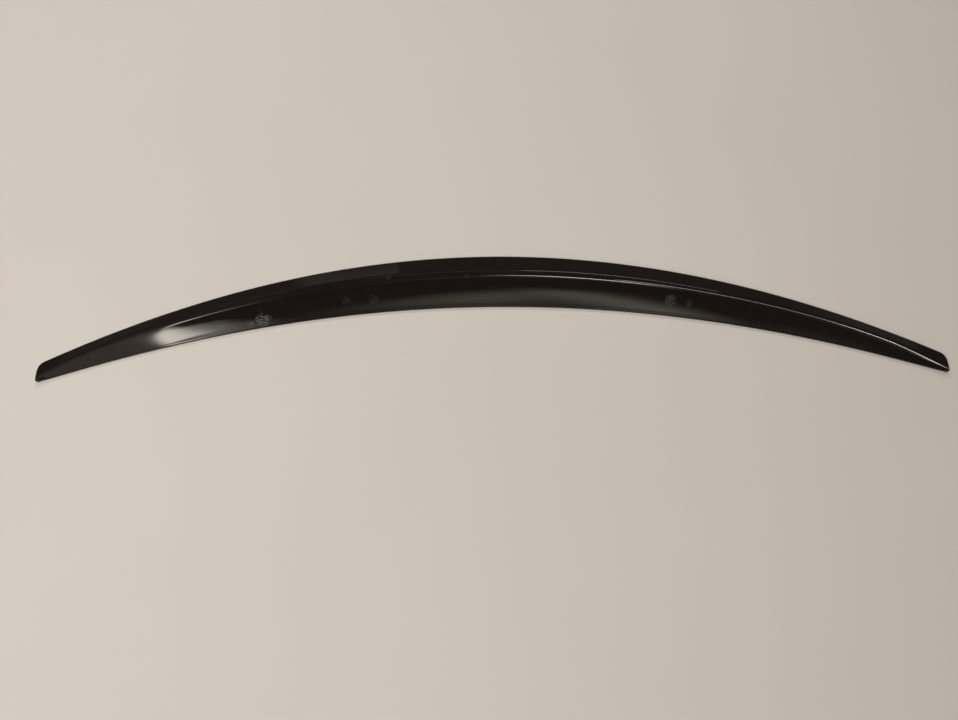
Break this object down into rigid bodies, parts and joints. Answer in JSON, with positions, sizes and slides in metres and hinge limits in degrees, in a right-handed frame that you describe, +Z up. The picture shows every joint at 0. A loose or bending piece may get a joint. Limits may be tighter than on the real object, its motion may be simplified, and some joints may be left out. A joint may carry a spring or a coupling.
{
  "type": "car boot lip spoiler",
  "caption": "Slim crescent lip spoiler for a car's boot lid: a hollow ramp climbs to a crisp ridge that runs out at both tips, over a ribbed open underside with flat bonding lands.",
  "frame": {"origin": "middle of the outline's box in plan, on the flat underside", "axes": "+X along the length, +Y towards the rear of the car, +Z up"},
  "size_m": [1.12, 0.1584, 0.018],
  "materials": {
    "gloss_black": "moulded gloss black, lightly handled, with faint smudges"
  },
  "bodies": {
    "root": {"lip_spoiler": "gloss_black"}
  },
  "joints": []
}
